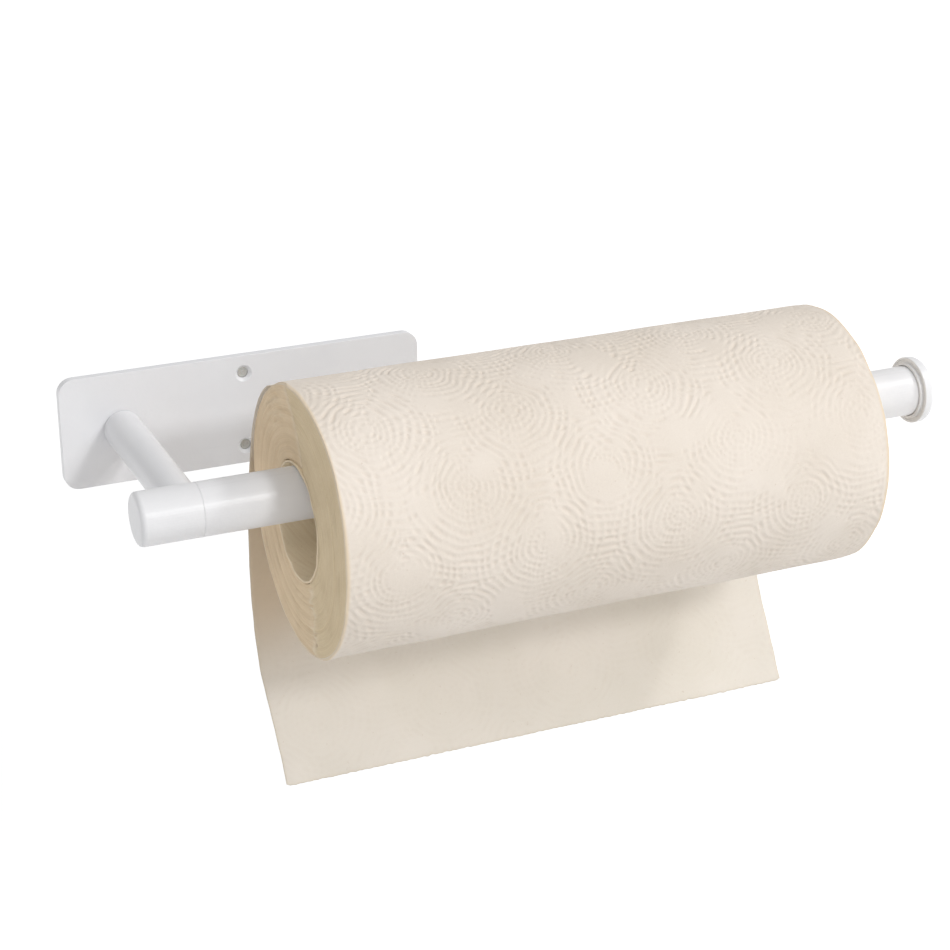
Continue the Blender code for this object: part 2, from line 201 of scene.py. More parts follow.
def emboss(x, arc):
    """How deep the pattern is pressed, 0 to 1, at x and at arc along the web of paper."""
    x = x + 0.00030 * warp_x(x, arc)
    arc = arc + 0.00030 * warp_y(x, arc)
    j_near = np.round((arc - FIRST_ROW) / ROW)
    shape = np.broadcast(x, arc).shape
    first, second = np.full(shape, 1e9), np.full(shape, 1e9)      # how near the two nearest motifs are
    dist, dist_b, drop, angle, ident, ident_b = (np.zeros(shape) for _ in range(6))
    for dj in (-2, -1, 0, 1, 2):
        j = j_near + dj
        odd = np.mod(j, 2)
        cy = FIRST_ROW + j * ROW
        shift = FIRST_X + odd * (-PITCH / 2)
        i_near = np.round((x - shift) / PITCH)
        for di in (-1, 0, 1):
            i = i_near + di
            # each motif a little off its place
            wob = np.sin(12.9898 * (i + 3) + 78.233 * np.mod(j, 12))
            wob2 = np.sin(39.425 * (i + 1) + 11.135 * np.mod(j, 12))
            dx = x - (shift + i * PITCH + 0.0020 * wob)
            dy = arc - (cy + 0.0016 * wob2)
            d = np.hypot(dx, dy)
            cost = d - 0.44 * np.maximum(dy, 0) + 0.0022 * wob2
            take = cost < first
            runner = ~take & (cost < second)
            second = np.where(take, first, np.where(runner, cost, second))
            dist_b = np.where(take, dist, np.where(runner, d, dist_b))
            ident_b = np.where(take, ident, np.where(runner, wob, ident_b))
            first = np.where(take, cost, first)
            dist = np.where(take, d, dist)
            drop = np.where(take, dy, drop)
            angle = np.where(take, np.arctan2(dy, dx), angle)
            ident = np.where(take, wob, ident)
    wobble = 0.00022 * jitter(x, arc)

    def rings(d, who):
        r = d + wobble
        ring = np.minimum(r, FAR) / RING + np.maximum(r - FAR, 0) / RING_FAR + 0.3 * who
        k = np.round(ring)
        at = np.minimum(k, FAR / RING) * RING + np.maximum(k - FAR / RING, 0) * RING_FAR
        return 0.5 + 0.5 * np.cos(TAU * ring), k, at

    band, k, at = rings(dist, ident)
    other, _, _ = rings(dist_b, ident_b)
    many = np.maximum(np.round(TAU * np.maximum(at, RING) / 0.0024), 5)
    dots = 0.5 + 0.5 * np.cos(many * angle + 2.4 * k + 3.0 * ident)
    dashes = 0.5 + 0.5 * np.cos(np.round(many / 4.0) * angle + 1.7 * k)
    inner = 1.0 - smoothstep(0.0085, 0.0150, dist + 0.0026 * jitter(arc, x))
    spotted = band * (0.15 + 0.85 * dots)
    drawn = band ** 1.3 * (0.55 + 0.45 * smoothstep(0.10, 0.55, dashes)) * (0.62 + 0.38 * dots)
    # rings of neighbours run across each other, which leaves a lattice of dots, mostly above a motif
    lattice = 1.30 * (band * other) ** 0.9
    high = 1.0 - smoothstep(-0.012, 0.002, drop)
    cross = 1.0 - smoothstep(0.0035 + 0.010 * high, 0.0120 + 0.016 * high, second - first + 0.0030 * soft_mask(arc, x))
    pattern = lattice * cross + (spotted * inner + drawn * (1 - inner)) * (1 - cross)
    # small flat patches, and a large worn one on the front
    pattern = pattern * smoothstep(0.0008, 0.0020, dist)
    mask = soft_mask(x, arc)
    pattern = pattern * (0.10 + 0.90 * smoothstep(-1.65, -0.95, mask))
    turn = np.mod(arc, CIRCUM)
    worn = np.exp(-((x - X1 + 0.034) / 0.036) ** 2 - ((turn - math.radians(157.0) * ROLL_R) / 0.019) ** 2)
    uneven = 0.90 + 0.26 * grain_mask(x, arc)
    return np.clip(pattern * uneven * (1 - 0.62 * worn), 0, 1.25)


def pillow(x, arc):
    """The slow quilting between motifs, -1 to 1."""
    return 0.5 * (np.cos(TAU * (x - FIRST_X) / PITCH) * np.cos(math.pi * (arc - FIRST_ROW) / ROW) + 0.6 * soft_mask(x, arc))


# ================================================================ helpers: materials
class Paint:
    """A material under construction: small calls for the nodes used here."""

    def __init__(self, name, roughness, metallic=0.0):
        self.mat = bpy.data.materials.new(name)
        self.mat.use_nodes = True
        self.tree = self.mat.node_tree
        self.bsdf = self.tree.nodes["Principled BSDF"]
        self.bsdf.inputs["Roughness"].default_value = roughness
        self.bsdf.inputs["Metallic"].default_value = metallic
        self.place = self.tree.nodes.new("ShaderNodeTexCoord").outputs["Object"]

    def set(self, **values):
        for key, value in values.items():
            self.bsdf.inputs[key.replace("_", " ")].default_value = value

    def put(self, target, value):
        if isinstance(value, bpy.types.NodeSocket):
            self.tree.links.new(value, target)
        elif value is not None:
            target.default_value = value

    def to(self, name, value):
        self.put(self.bsdf.inputs[name], value)

    def noise(self, scale, detail=2.0, rough=0.5, distortion=0.0, vector=None):
        n = self.tree.nodes.new("ShaderNodeTexNoise")
        self.put(n.inputs["Vector"], vector or self.place)
        n.inputs["Scale"].default_value = scale
        n.inputs["Detail"].default_value = detail
        n.inputs["Roughness"].default_value = rough
        n.inputs["Distortion"].default_value = distortion
        return n.outputs["Fac"]

    def stretch(self, sx, sy, sz, vector=None, turn=(0, 0, 0)):
        n = self.tree.nodes.new("ShaderNodeMapping")
        self.put(n.inputs["Vector"], vector or self.place)
        n.inputs["Scale"].default_value = (sx, sy, sz)
        n.inputs["Rotation"].default_value = turn
        return n.outputs["Vector"]

    def attribute(self, name):
        n = self.tree.nodes.new("ShaderNodeAttribute")
        n.attribute_name = name
        return n.outputs["Fac"]

    def combine(self, x, y, z=0.0):
        n = self.tree.nodes.new("ShaderNodeCombineXYZ")
        for target, value in zip(n.inputs, (x, y, z)):
            self.put(target, value)
        return n.outputs[0]

    def split(self):
        n = self.tree.nodes.new("ShaderNodeSeparateXYZ")
        self.put(n.inputs[0], self.place)
        return n.outputs

    def math(self, kind, a, b=None, c=None, clamp=False):
        n = self.tree.nodes.new("ShaderNodeMath")
        n.operation = kind
        n.use_clamp = clamp
        for target, value in zip(n.inputs, (a, b, c)):
            self.put(target, value)
        return n.outputs[0]

    def fit(self, value, low, high, out_low, out_high, soft=False):
        n = self.tree.nodes.new("ShaderNodeMapRange")
        n.interpolation_type = "SMOOTHSTEP" if soft else "LINEAR"
        for target, v in zip(n.inputs, (value, low, high, out_low, out_high)):
            self.put(target, v)
        return n.outputs[0]

    def ramp(self, value, *stops):
        n = self.tree.nodes.new("ShaderNodeValToRGB")
        self.put(n.inputs[0], value)
        els = n.color_ramp.elements
        while len(els) < len(stops):
            els.new(0.5)
        for el, (at, colour) in zip(els, stops):
            el.position = at
            el.color = (*colour, 1.0)
        return n.outputs["Color"]

    def mix(self, fac, a, b, kind="MIX"):
        n = self.tree.nodes.new("ShaderNodeMix")
        n.data_type = "RGBA"
        n.blend_type = kind
        sockets = [s for s in n.inputs if s.enabled]
        self.put(sockets[0], fac)
        for target, value in zip(sockets[1:], (a, b)):
            self.put(target, (*value, 1.0) if isinstance(value, tuple) and len(value) == 3 else value)
        return next(s for s in n.outputs if s.enabled)

    def bump(self, height, distance, strength=1.0, below=None):
        n = self.tree.nodes.new("ShaderNodeBump")
        n.inputs["Strength"].default_value = strength
        n.inputs["Distance"].default_value = distance
        self.put(n.inputs["Height"], height)
        if below is not None:
            self.put(n.inputs["Normal"], below)
        return n.outputs["Normal"]


def srgb(r, g, b):
    """A colour given as 0 to 255 screen values."""
    def lin(v):
        v /= 255.0
        return v / 12.92 if v <= 0.04045 else ((v + 0.055) / 1.055) ** 2.4
    return (lin(r), lin(g), lin(b))


# ---------------------------------------------------------------- white powder coat
def white_coat(name, tint=(0.0, 0.0, 0.0), rubbed=None):
    """Satin white powder coat: fine orange peel, slow tone changes, faint dust and rubbing.
    rubbed is (axis z, depth) where something slides on top of a bar."""
    p = Paint(name, 0.36)
    a, b = (0.785, 0.785, 0.802), (0.820, 0.820, 0.833)
    a = tuple(v + t for v, t in zip(a, tint))
    b = tuple(v + t for v, t in zip(b, tint))
    slow = p.noise(38.0, 3.0, 0.55)
    colour = p.mix(p.fit(slow, 0.32, 0.68, 0.0, 1.0), a, b)
    specks = p.noise(2600.0, 1.0, 0.5)
    colour = p.mix(p.fit(specks, 0.66, 0.80, 0.0, 0.16), colour, (0.60, 0.60, 0.60))
    scuff = p.noise(1.0, 4.0, 0.62, 0.4, vector=p.stretch(55.0, 620.0, 620.0))
    scuff_mask = p.math("MULTIPLY", p.fit(scuff, 0.60, 0.74, 0.0, 1.0), p.fit(p.noise(22.0, 1.0), 0.50, 0.66, 0.0, 1.0))
    colour = p.mix(p.math("MULTIPLY", scuff_mask, 0.10), colour, (0.58, 0.58, 0.60))
    rough = p.fit(p.noise(420.0, 3.0, 0.6), 0.25, 0.75, 0.31, 0.42)
    if rubbed is not None:
        z_line, depth = rubbed
        z = p.split()[2]
        lane = p.fit(z, z_line - depth, z_line, 0.0, 1.0, soft=True)
        streak = p.noise(1.0, 3.0, 0.6, vector=p.stretch(26.0, 900.0, 900.0))
        lane = p.math("MULTIPLY", lane, p.fit(streak, 0.42, 0.66, 0.0, 1.0))
        colour = p.mix(p.math("MULTIPLY", lane, 0.22), colour, (0.62, 0.62, 0.63))
        rough = p.math("SUBTRACT", rough, p.math("MULTIPLY", lane, 0.08))
    rough = p.math("ADD", rough, p.math("MULTIPLY", scuff_mask, 0.10))
    p.to("Base Color", colour)
    p.to("Roughness", rough)
    peel = p.noise(900.0, 2.0, 0.45)
    fine = p.noise(2800.0, 2.0, 0.5)
    normal = p.bump(fine, 0.00002, 0.35)
    normal = p.bump(peel, 0.00007, 0.45, below=normal)
    p.to("Normal", normal)
    p.set(Coat_Weight=0.12, Coat_Roughness=0.22, IOR=1.48)
    return p.mat


def zinc(name):
    p = Paint(name, 0.34, 1.0)
    tone = p.noise(160.0, 4.0, 0.6)
    p.to("Base Color", p.ramp(tone, (0.3, (0.52, 0.53, 0.55)), (0.55, (0.66, 0.67, 0.68)), (0.75, (0.70, 0.69, 0.62))))
    turning = p.noise(1.0, 2.0, 0.5, vector=p.stretch(300.0, 4200.0, 300.0))
    p.to("Roughness", p.fit(turning, 0.3, 0.7, 0.26, 0.44))
    p.to("Normal", p.bump(turning, 0.00004, 0.5))
    return p.mat


def nylon(name, dark=(0.66, 0.64, 0.57), light=(0.76, 0.74, 0.68)):
    p = Paint(name, 0.48)
    tone = p.noise(120.0, 3.0, 0.5)
    p.to("Base Color", p.ramp(tone, (0.3, dark), (0.7, light)))
    p.to("Roughness", p.fit(p.noise(900.0, 2.0), 0.3, 0.7, 0.42, 0.56))
    p.to("Normal", p.bump(p.noise(1500.0, 2.0), 0.00005, 0.4))
    p.set(Subsurface_Weight=0.05)
    return p.mat


# ---------------------------------------------------------------- paper
PAPER_LIGHT = srgb(231, 221, 210)
PAPER_DARK = srgb(221, 210, 197)


def fibres(p, base_scale=1.0):
    """Fine matted fibres: a colour factor and a height."""
    matted = p.noise(1500.0 * base_scale, 5.0, 0.66, 0.8)
    long_a = p.noise(1.0, 2.0, 0.55, 1.2, vector=p.stretch(2200.0, 420.0, 420.0))
    long_b = p.noise(1.0, 2.0, 0.55, 1.2, vector=p.stretch(420.0, 1700.0, 1700.0, turn=(0.3, 0.5, 0.2)))
    both = p.math("MULTIPLY", p.math("ADD", long_a, long_b), 0.5)
    return matted, p.math("MULTIPLY", p.math("ADD", matted, both), 0.5)


def paper_outer(name):
    """Unbleached two-ply towel: cream, with the pressed grooves mixed darker: painted shade in the recesses."""
    p = Paint(name, 0.93)
    matted, height = fibres(p)
    slow = p.noise(26.0, 3.0, 0.5)
    colour = p.mix(p.fit(slow, 0.3, 0.7, 0.0, 1.0), PAPER_DARK, PAPER_LIGHT)
    colour = p.mix(p.fit(matted, 0.35, 0.70, 0.0, 0.30), colour, srgb(240, 232, 221))
    fleck = p.noise(780.0, 2.0, 0.5)
    colour = p.mix(p.fit(fleck, 0.70, 0.78, 0.0, 0.22), colour, srgb(176, 150, 118))
    # painted shade: the pressed grooves and pits mixed darker
    pressed = p.attribute("pressed")
    colour = p.mix(p.math("MULTIPLY", pressed, 0.09), colour, srgb(198, 178, 156))
    rim = p.attribute("rim")
    colour = p.mix(p.math("MULTIPLY", rim, 0.75), colour, srgb(226, 206, 176))
    p.to("Base Color", colour)
    p.to("Roughness", p.fit(matted, 0.3, 0.7, 0.88, 0.98))
    p.to("Normal", p.bump(height, 0.00020, 0.55))
    p.set(Sheen_Weight=0.08, Sheen_Roughness=0.6, Specular_IOR_Level=0.25)
    return p.mat


def paper_ends(name):
    """The cut edges of some hundred turns: tan, ringed, warmer on the wall side. Painted light and shade too: the right
    face mixed paler, a pale highlight band at the outer edge, dark shade in the notches.
    """
    p = Paint(name, 0.95)
    radius, side = p.attribute("radius"), p.attribute("side")
    crease, rim = p.attribute("crease"), p.attribute("rim")
    ring_a = p.noise(1.0, 4.0, 0.62, vector=p.combine(p.math("MULTIPLY", radius, 46.0), p.math("MULTIPLY", side, 0.5)))
    ring_b = p.noise(1.0, 2.0, 0.5, vector=p.combine(p.math("MULTIPLY", radius, 190.0), p.math("MULTIPLY", side, 1.4), 3.7))
    olive = p.mix(p.fit(ring_a, 0.30, 0.70, 0.0, 1.0), srgb(222, 203, 169), srgb(234, 216, 183))
    warm = p.mix(p.fit(ring_a, 0.30, 0.70, 0.0, 1.0), srgb(227, 203, 170), srgb(240, 218, 187))
    colour = p.mix(side, olive, warm)
    colour = p.mix(p.fit(ring_b, 0.42, 0.68, 0.0, 0.26), colour, srgb(196, 170, 136))
    lint = p.noise(1100.0, 4.0, 0.6, 0.5)
    colour = p.mix(p.fit(lint, 0.50, 0.78, 0.0, 0.30), colour, srgb(240, 226, 202))
    blotch = p.noise(95.0, 3.0, 0.5)
    colour = p.mix(p.fit(blotch, 0.36, 0.70, 0.0, 0.20), colour, srgb(202, 180, 146))
    # painted light: the right face, which faces the key light, mixed paler and less tan than the shaded left face
    colour = p.mix(p.math("MULTIPLY", p.attribute("lit_face_tint"), 0.55), colour, srgb(226, 214, 196))
    colour = p.mix(p.math("MULTIPLY", crease, 0.80), colour, srgb(242, 228, 205))
    # painted shade: dark brown in the recessed notches at the creases
    colour = p.mix(p.math("MULTIPLY", p.attribute("notch"), 0.75), colour, srgb(150, 118, 84))
    # painted highlight: a pale band along the outermost turns at the face's edge
    colour = p.mix(p.math("MULTIPLY", rim, 0.92), colour, srgb(246, 232, 208))
    p.to("Base Color", colour)
    p.to("Roughness", p.fit(lint, 0.3, 0.7, 0.90, 1.0))
    normal = p.bump(lint, 0.00016, 0.5)
    p.to("Normal", p.bump(ring_b, 0.00018, 0.6, below=normal))
    p.set(Specular_IOR_Level=0.2)
    return p.mat


def paper_sheet(name):
    """The loose sheet: the outer paper, thin enough for some light to pass. It is mixed much paler than the roll's
    paper: partly the thin sheet's own tone, partly painted light on a sheet that hangs in the roll's shade.
    """
    p = Paint(name, 0.93)
    matted, height = fibres(p)
    slow = p.noise(22.0, 3.0, 0.5)
    # paler than the roll's paper: partly its own tone, partly painted light
    colour = p.mix(p.fit(slow, 0.3, 0.7, 0.0, 1.0), srgb(239, 234, 225), srgb(246, 241, 234))
    colour = p.mix(p.fit(matted, 0.35, 0.70, 0.0, 0.28), colour, srgb(248, 244, 238))
    fleck = p.noise(780.0, 2.0, 0.5)
    colour = p.mix(p.fit(fleck, 0.70, 0.78, 0.0, 0.20), colour, srgb(180, 156, 126))
    # painted shade: the pressed grooves and pits mixed darker
    pressed = p.attribute("pressed")
    colour = p.mix(p.math("MULTIPLY", pressed, 0.05), colour, srgb(206, 192, 174))
    # painted shade and painted bounce light from the roll's tan end, on the inner side's near corner
    colour = p.mix(p.math("MULTIPLY", p.attribute("warm"), 0.62), colour, srgb(198, 172, 132))
    rim = p.attribute("rim")
    colour = p.mix(p.math("MULTIPLY", rim, 0.55), colour, srgb(232, 222, 206))
    p.to("Base Color", colour)
    p.to("Roughness", p.fit(matted, 0.3, 0.7, 0.88, 0.98))
    normal = p.bump(height, 0.00018, 0.5)
    p.to("Normal", normal)
    p.set(Sheen_Weight=0.06, Sheen_Roughness=0.6, Specular_IOR_Level=0.25)
    through = p.tree.nodes.new("ShaderNodeBsdfTranslucent")
    p.put(through.inputs["Color"], colour)
    p.put(through.inputs["Normal"], normal)
    both = p.tree.nodes.new("ShaderNodeMixShader")
    both.inputs[0].default_value = 0.40
    out = next(n for n in p.tree.nodes if n.type == "OUTPUT_MATERIAL")
    p.tree.links.new(p.bsdf.outputs[0], both.inputs[1])
    p.tree.links.new(through.outputs[0], both.inputs[2])
    p.tree.links.new(both.outputs[0], out.inputs["Surface"])
    return p.mat


def cardboard(name):
    """Core board, spiral wound: fibres along the winding and darker seams. Its colours are far paler than the board's
    own grey-brown: painted light, so that the deeply shaded bore reads as lit.
    """
    p = Paint(name, 0.92)
    wind = p.attribute("wind")
    rim = p.attribute("rim")
    streak = p.noise(1.0, 4.0, 0.6, 0.3, vector=p.combine(p.math("MULTIPLY", wind, 60.0), p.math("MULTIPLY", p.split()[0], 120.0)))
    # colours far paler than the board's own grey-brown: painted light for the shaded bore
    colour = p.ramp(streak, (0.28, srgb(236, 217, 185)), (0.52, srgb(243, 226, 195)), (0.76, srgb(248, 233, 205)))
    fleck = p.noise(620.0, 3.0, 0.55)
    colour = p.mix(p.fit(fleck, 0.60, 0.76, 0.0, 0.25), colour, srgb(204, 180, 146))
    seam = p.attribute("seam")
    colour = p.mix(p.math("MULTIPLY", seam, 0.5), colour, srgb(196, 170, 136))
    colour = p.mix(rim, colour, srgb(234, 216, 188))
    p.to("Base Color", colour)
    p.to("Roughness", p.fit(fleck, 0.3, 0.7, 0.86, 0.97))
    p.to("Normal", p.bump(p.noise(1300.0, 4.0, 0.6, 0.4), 0.00014, 0.5))
    p.set(Specular_IOR_Level=0.25)
    return p.mat


coat_flat = white_coat("white_coat_plate", (0.0, 0.0, 0.004))
coat_bar = white_coat("white_coat_bars")
coat_tube = white_coat("white_coat_tube", (0.0, 0.0, 0.002), rubbed=(ROD_R, 0.0016))
coat_stop = white_coat("white_coat_stop", (0.004, 0.006, 0.004))
zinc_mat = zinc("zinc_plate")
nylon_mat = nylon("nylon_plug")
# grey for the discs in the screw holes: painted shade
hole_shade_mat = nylon("hole_shade_grey", (0.47, 0.47, 0.45), (0.58, 0.58, 0.55))
paper_mat = paper_outer("towel_paper")
ends_mat = paper_ends("towel_paper_edges")
sheet_mat = paper_sheet("towel_paper_loose")
board_mat = cardboard("core_board")


def nodes_of(name):
    return bpy.data.objects[name] if name in bpy.data.objects else frame["nodes"][name]


for node, mat in (("back_plate", coat_flat), ("support_arm", coat_bar), ("rod_hub", coat_bar),
                  ("rod_tube", coat_tube), ("end_stop", coat_stop), ("arm_screw", zinc_mat),
                  ("arm_dowel", zinc_mat), ("hub_stud", zinc_mat), ("tube_insert", nylon_mat)):
    obj = nodes_of(node)
    for slot in obj.material_slots:
        slot.material = mat


# ================================================================ the seam ring
def seam_ring():
    """A thin white washer in the joint between hub and tube, just below their surface."""
    z_mid, y_mid = (tube_lo[2] + tube_hi[2]) / 2, (tube_lo[1] + tube_hi[1]) / 2
    gap = 0.0003
    right = tube_lo[0] - 0.00002
    left = tube_lo[0] - gap + 0.00002
    around = 128
    theta = np.arange(around) * TAU / around
    outer, inner = ROD_R - 0.00007, ROD_R - 0.0011
    profile = [(left, inner), (left, outer - 0.00005), (left + 0.00005, outer), (right - 0.00005, outer),
               (right, outer - 0.00005), (right, inner)]
    rows = [np.stack([x + 0 * theta, y_mid + r * np.cos(theta), z_mid + r * np.sin(theta)], -1) for x, r in profile]
    return build("hub_seam_ring", np.stack(rows), quads(len(rows), around, wrap_u=True, wrap_v=True), None, (coat_bar,))


ring = seam_ring()
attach(ring, "holder")


# ================================================================ grey discs in the screw holes: painted shade
def hole_shade_disc(name, z):
    """A small dished grey disc at the bottom of a screw hole's countersink: painted shade, put where the hole shows
    only the shaded wall behind.
    """
    front, back, radius = -0.00205, -0.00080, 0.00212
    around = 72
    theta = np.arange(around) * TAU / around
    profile = [(back, 0.00002), (back, radius - 0.0002), (back - 0.0002, radius), (front + 0.00012, radius),
               (front, radius - 0.00014), (front - 0.00002, radius * 0.78), (front + 0.00022, radius * 0.66),
               (front + 0.00030, radius * 0.50), (front + 0.00012, radius * 0.36), (front + 0.00008, radius * 0.2),
               (front + 0.00008, 0.00002)]
    rows = [np.stack([r * np.cos(theta), y + 0 * theta, z + r * np.sin(theta)], -1) for y, r in profile]
    return build(name, np.stack(rows), quads(len(rows), around, wrap_u=True, wrap_v=True), None, (hole_shade_mat,))


# painted shade: a grey disc in each screw hole
for tag, z in (("upper", 0.0152), ("lower", -0.0152)):
    plug = hole_shade_disc("hole_plug_" + tag, z)
    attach(plug, "holder")


# ================================================================ the wound paper
def wound_paper():
    """One closed body: embossed outside, ringed ends, and the bore that the core fills."""
    around = 620
    theta = np.arange(around) * TAU / around          # from +Y, over the top, to the front
    turns = Waves(21, 40, TAU / 0.0040, TAU / 0.0009)  # of the radius: groups of turns
    turns_slow = Waves(22, 10, TAU / 0.016, TAU / 0.006)
    lumps = Waves(23, 16, 1.0, 7.0, around=TAU)
    out_edge = Waves(24, 24, 3.0, 26.0, around=TAU)
    drift = Waves(25, 14, TAU / 0.20, TAU / 0.05, around=CIRCUM)
    EDGE = 0.0011                                     # rounding of the outermost turns

    # radius samples of an end face, from the bore out
    face_r = np.concatenate([np.linspace(BORE_R, ROLL_R - EDGE - 0.0003, 58, endpoint=False),
                             np.linspace(ROLL_R - EDGE - 0.0003, ROLL_R - EDGE, 2)])
    arc_a = np.linspace(0, math.pi / 2, 6)[1:]        # the rounding
    side_x = np.linspace(X0 + EDGE, X1 - EDGE, 420)

    rows, pressed, rim, radius, side, crease, notch, lit_face_tint, kind = [], [], [], [], [], [], [], [], []

    def section(xr, zone):
        """One ring of points: xr = (x, r) for every theta."""
        x, r = xr
        rows.append(np.stack([x + 0 * theta, AX_Y + r * np.cos(theta), AX_Z + r * np.sin(theta)], -1))
        kind.append(zone)

    def keep(p=0.0, m=0.0, rad=0.0, s=0.0, c=0.0, n=0.0, o=0.0):
        for store, value in ((pressed, p), (rim, m), (radius, rad), (side, s), (crease, c), (notch, n), (lit_face_tint, o)):
            store.append(np.zeros(around) + value)

    def end_face(r, left):
        """Axial place of the cut edges, measured outwards from the nominal face, and its marks."""
        s = theta * ROLL_R
        seed = 0.0 if left else 0.37
        depth = 0.00010 * turns(r + seed, 0.0) + 0.00012 * turns_slow(r + seed, 0.0)
        depth = depth + 0.00010 * turns(r * 1.7 + 0.11 + seed + 0.0012 * lumps(0.0, theta), 0.0)
        depth = depth + 0.00022 * lumps(r * 40.0 + seed, theta)
        t = (r - BORE_R) / (ROLL_R - BORE_R)
        # two creases, above and below the bore, where the turns were pressed together; they lean to the front
        up_at, down_at = math.radians(104.0 - 26.0 * t), math.radians(238.0 + 16.0 * max(t, 0.0) ** 0.8)
        up_turn, down_turn = (np.angle(np.exp(1j * (theta - at))) for at in (up_at, down_at))
        up = up_turn * r
        down_wave = 0.0011 * np.sin(t * 19.0) + 0.0006 * np.sin(t * 47.0 + 1.0)
        down = down_turn * r + down_wave
        below = np.exp(-(down / 0.0031) ** 2) * smoothstep(0.02, 0.10, t) * (1 - smoothstep(0.93, 1.0, t))
        above = np.exp(-(up / 0.0015) ** 2)
        wrinkle = np.sin(t * 46.0 + 700.0 * down + 2.4 * np.sin(t * 19.0)) * (0.6 + 0.4 * np.sin(t * 31.0 - 500.0 * down))
        tip = np.exp(-(down / 0.0009) ** 2) * (np.exp(-((t - 0.80) / 0.030) ** 2) + np.exp(-((t - 0.975) / 0.020) ** 2))
        # crumpled turns on the wall side, above the rod
        high = np.exp(-((theta - math.radians(62.0)) / 0.26) ** 2) * smoothstep(0.35, 0.55, t)
        crumple = 0.00045 * high * np.sin(t * 38.0 + 9.0 * theta) * np.sin(21.0 * theta + 11.0 * t)
        depth = depth + (1.0 if left else 0.3) * (below * (0.00070 * wrinkle - 0.0002) - 0.00050 * above - 0.0009 * tip + crumple)
        # the wall side sits a little further in than the front side
        if left:
            wall_side = (1 - smoothstep(-0.0008, 0.0008, up)) * (theta < math.pi) + smoothstep(-0.0008, 0.0008, down) * (theta >= math.pi)
        else:
            wall_side = 0.5 + 0.5 * np.cos(theta + 0.7)
        depth = depth - 0.00050 * wall_side * (1 - 0.3 * t)
        strong = 1.0 if left else 0.25
        # the outermost turn stands a little proud, in and out along the edge
        proud = smoothstep(0.955, 0.985, t)
        depth = depth + proud * (0.00016 + 0.00034 * out_edge(0.3 + seed, theta))
        depth = depth - 0.00030 * smoothstep(0.93, 0.95, t) * (1 - proud)
        # m: a painted highlight band at the outer edge; n: painted shade in the recessed notches
        marks = dict(m=smoothstep(0.962, 0.980, t), rad=t, s=strong * wall_side * (0.8 + 0.2 * np.cos(theta)),
                     c=strong * (0.95 * below * (0.60 + 0.40 * wrinkle) + 0.60 * np.exp(-((up + 0.0012) / 0.0014) ** 2)
                                 + 0.30 * high * (0.5 + 0.5 * np.sin(t * 38.0 + 9.0 * theta))),
                     n=strong * (tip + 0.20 * above))
        return depth, marks

    def outer_r(x):
        arc = theta * ROLL_R
        near_edge = smoothstep(0.0, 0.0035, np.minimum(x - X0, X1 - x))
        d = emboss(np.full_like(arc, x), arc)
        # a little deeper towards the upper left, where the roll has been handled least
        fresh = 1 + 0.22 * (X1 - x) / (X1 - X0) * (1 - smoothstep(math.radians(105), math.radians(150), theta))
        r = ROLL_R - 0.00005 - 0.00037 * fresh * d * near_edge
        r = r - 0.00007 * (1 + pillow(np.full_like(arc, x), arc)) * near_edge
        r = r - 0.00012 * (1 + 0.5 * drift(x, arc))
        # the outermost turn is uneven along its cut edge
        r = r - 0.00022 * (1 + 0.8 * out_edge(0.9 if x < AX_X else 1.7, theta)) * (1 - smoothstep(0.0, 0.0060, min(x - X0, X1 - x)))
        return r, d * near_edge

    # bore, right to left, so that the section runs once round the body
    for x in np.linspace(X1 - 0.0012, X0 + 0.0012, 14):
        section((x, BORE_R), 1)
        keep()
    for r in face_r:
        depth, marks = end_face(r, True)
        section((X0 - depth, r), 1)
        keep(**marks)
    left_r, _ = outer_r(X0 + EDGE)
    depth, _ = end_face(face_r[-1], True)
    for a in arc_a[:-1]:
        section((X0 - depth * math.cos(a) + EDGE * (1 - math.cos(a)), face_r[-1] + (left_r - face_r[-1]) * math.sin(a)), 0)
        keep(m=1.0, rad=1.0, s=0.0)
    for x in side_x:
        r, d = outer_r(x)
        section((x, r), 0)
        keep(p=d, m=1.0 - float(smoothstep(0.0004, 0.0013, np.float64(min(x - X0 - EDGE, X1 - EDGE - x) + 0.0004))), rad=1.0)
    right_r, _ = outer_r(X1 - EDGE)
    depth, _ = end_face(face_r[-1], False)
    for a in arc_a[:-1][::-1]:
        section((X1 + depth * math.cos(a) - EDGE * (1 - math.cos(a)), face_r[-1] + (right_r - face_r[-1]) * math.sin(a)), 0)
        keep(m=1.0, rad=1.0, s=0.0)
    for r in face_r[::-1]:
        depth, marks = end_face(r, False)
        section((X1 + depth, r), 1)
        # the right face gets the painted paler tint
        keep(**marks, o=1.0)

    points = np.stack(rows)
    faces = quads(len(rows), around, wrap_u=True, wrap_v=True)
    zones = np.array(kind)
    per_row = np.maximum(zones, np.roll(zones, -1))
    # the strip between a face and the rounding belongs to the outer paper
    outer_rows = np.where((zones == 0) | (np.roll(zones, -1) == 0), 0, per_row)
    face_mat = np.repeat(outer_rows, around)
    flat = {"pressed": pressed, "rim": rim, "radius": radius, "side": side, "crease": crease, "notch": notch, "lit_face_tint": lit_face_tint}
    flat = {key: np.stack(value) for key, value in flat.items()}
    return build("wound_paper", points, faces, flat, (paper_mat, ends_mat), face_mat)


wound = wound_paper()
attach(wound, "roll")
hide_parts("paper_roll")


